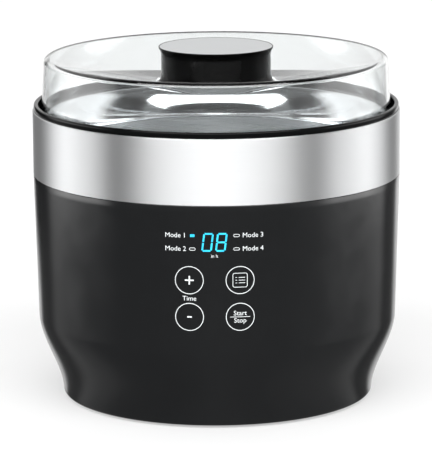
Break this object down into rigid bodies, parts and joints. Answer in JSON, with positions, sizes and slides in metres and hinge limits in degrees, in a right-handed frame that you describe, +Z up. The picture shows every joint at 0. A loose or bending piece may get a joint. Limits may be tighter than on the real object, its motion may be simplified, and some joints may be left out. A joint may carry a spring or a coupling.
{
  "type": "yogurt maker",
  "caption": "Round electric yogurt maker: black housing with touch panel, steel band and pot, clear dished lid with knob, and capped glass jars inside.",
  "frame": {"origin": "centre of the circle of feet, on the plane the appliance stands on", "axes": "+Z up, -Y towards the user at the control panel, +X to the user's right"},
  "size_m": [0.24, 0.24, 0.2304],
  "materials": {
    "housing_black": "moulded black plastic, gloss",
    "band_steel": "stainless steel, brushed round the band",
    "ring_black": "moulded black plastic, gloss",
    "pot_steel": "stainless steel, polished on the shoulder and brushed below",
    "base_black": "moulded black plastic, fine grain",
    "foot_rubber": "moulded rubber, matt",
    "screw_steel": "zinc-plated steel",
    "heater_aluminium": "die-cast aluminium, matt",
    "belt_silicone": "orange silicone heating belt",
    "insulation_felt": "pale glass-fibre felt",
    "sensor_steel": "nickel-plated steel",
    "bracket_steel": "bent steel strip",
    "fuse_ceramic": "ceramic body with tinned leads",
    "board_green": "green solder resist",
    "component_plastic": "mixed component housings",
    "terminal_white": "white polyamide",
    "gland_black": "black polyamide",
    "chip_black": "black epoxy",
    "display_white": "white display reflector",
    "shroud_black": "black moulded light shroud",
    "led_clear": "clear resin",
    "guide_clear": "clear acrylic",
    "spring_brass": "bronze spring wire",
    "print_white": "white screen print",
    "digit_cyan": "lit cyan segments",
    "lid_clear": "clear polished plastic",
    "knob_black": "moulded black plastic, high gloss",
    "disc_silver": "satin silver disc",
    "seal_silicone": "translucent silicone",
    "jar_glass": "clear pressed glass",
    "cap_white": "white polypropylene"
  },
  "bodies": {
    "base": {"housing": "housing_black", "steel_band": "band_steel", "top_ring": "ring_black", "heating_chamber": "pot_steel", "base_plate": "base_black", "rubber_feet": "foot_rubber", "base_screws": "screw_steel", "bottom_heater": "heater_aluminium", "belt_heater": "belt_silicone", "insulation_sleeve": "insulation_felt", "temperature_sensor": "sensor_steel", "sensor_bracket": "bracket_steel", "thermal_fuse": "fuse_ceramic", "power_board": "board_green", "power_components": "component_plastic", "terminal_block": "terminal_white", "cord_gland": "gland_black", "control_board": "board_green", "processor_and_buzzer": "chip_black", "display_module": "display_white", "display_shroud": "shroud_black", "indicator_leds": "led_clear", "light_guides": "guide_clear", "touch_springs": "spring_brass", "board_screws": "screw_steel", "panel_marks": "print_white", "display_segments": "digit_cyan"},
    "lid": {"lid_shell": "lid_clear", "knob": "knob_black", "knob_disc": "disc_silver", "knob_screw": "screw_steel", "knob_seal": "seal_silicone"},
    "jar_1_body": {"jar_1": "jar_glass"},
    "cap_1_body": {"jar_cap_1": "cap_white"},
    "jar_2_body": {"jar_2": "jar_glass"},
    "cap_2_body": {"jar_cap_2": "cap_white"},
    "jar_3_body": {"jar_3": "jar_glass"},
    "cap_3_body": {"jar_cap_3": "cap_white"},
    "jar_4_body": {"jar_4": "jar_glass"},
    "cap_4_body": {"jar_cap_4": "cap_white"},
    "jar_5_body": {"jar_5": "jar_glass"},
    "cap_5_body": {"jar_cap_5": "cap_white"},
    "jar_6_body": {"jar_6": "jar_glass"},
    "cap_6_body": {"jar_cap_6": "cap_white"},
    "jar_7_body": {"jar_7": "jar_glass"},
    "cap_7_body": {"jar_cap_7": "cap_white"}
  },
  "joints": [
    {"name": "lid_lift", "type": "slide", "parent": "base", "child": "lid", "axis": [0, 0, 1], "range_m": [0, 0.12]},
    {"name": "jar_1_lift", "type": "slide", "parent": "base", "child": "jar_1_body", "axis": [0, 0, 1], "range_m": [0, 0.042]},
    {"name": "cap_1_lift", "type": "slide", "parent": "jar_1_body", "child": "cap_1_body", "axis": [0, 0, 1], "range_m": [0, 0.012]},
    {"name": "jar_2_lift", "type": "slide", "parent": "base", "child": "jar_2_body", "axis": [0, 0, 1], "range_m": [0, 0.042]},
    {"name": "cap_2_lift", "type": "slide", "parent": "jar_2_body", "child": "cap_2_body", "axis": [0, 0, 1], "range_m": [0, 0.012]},
    {"name": "jar_3_lift", "type": "slide", "parent": "base", "child": "jar_3_body", "axis": [0, 0, 1], "range_m": [0, 0.042]},
    {"name": "cap_3_lift", "type": "slide", "parent": "jar_3_body", "child": "cap_3_body", "axis": [0, 0, 1], "range_m": [0, 0.012]},
    {"name": "jar_4_lift", "type": "slide", "parent": "base", "child": "jar_4_body", "axis": [0, 0, 1], "range_m": [0, 0.042]},
    {"name": "cap_4_lift", "type": "slide", "parent": "jar_4_body", "child": "cap_4_body", "axis": [0, 0, 1], "range_m": [0, 0.012]},
    {"name": "jar_5_lift", "type": "slide", "parent": "base", "child": "jar_5_body", "axis": [0, 0, 1], "range_m": [0, 0.042]},
    {"name": "cap_5_lift", "type": "slide", "parent": "jar_5_body", "child": "cap_5_body", "axis": [0, 0, 1], "range_m": [0, 0.012]},
    {"name": "jar_6_lift", "type": "slide", "parent": "base", "child": "jar_6_body", "axis": [0, 0, 1], "range_m": [0, 0.042]},
    {"name": "cap_6_lift", "type": "slide", "parent": "jar_6_body", "child": "cap_6_body", "axis": [0, 0, 1], "range_m": [0, 0.012]},
    {"name": "jar_7_lift", "type": "slide", "parent": "base", "child": "jar_7_body", "axis": [0, 0, 1], "range_m": [0, 0.042]},
    {"name": "cap_7_lift", "type": "slide", "parent": "jar_7_body", "child": "cap_7_body", "axis": [0, 0, 1], "range_m": [0, 0.012]}
  ]
}
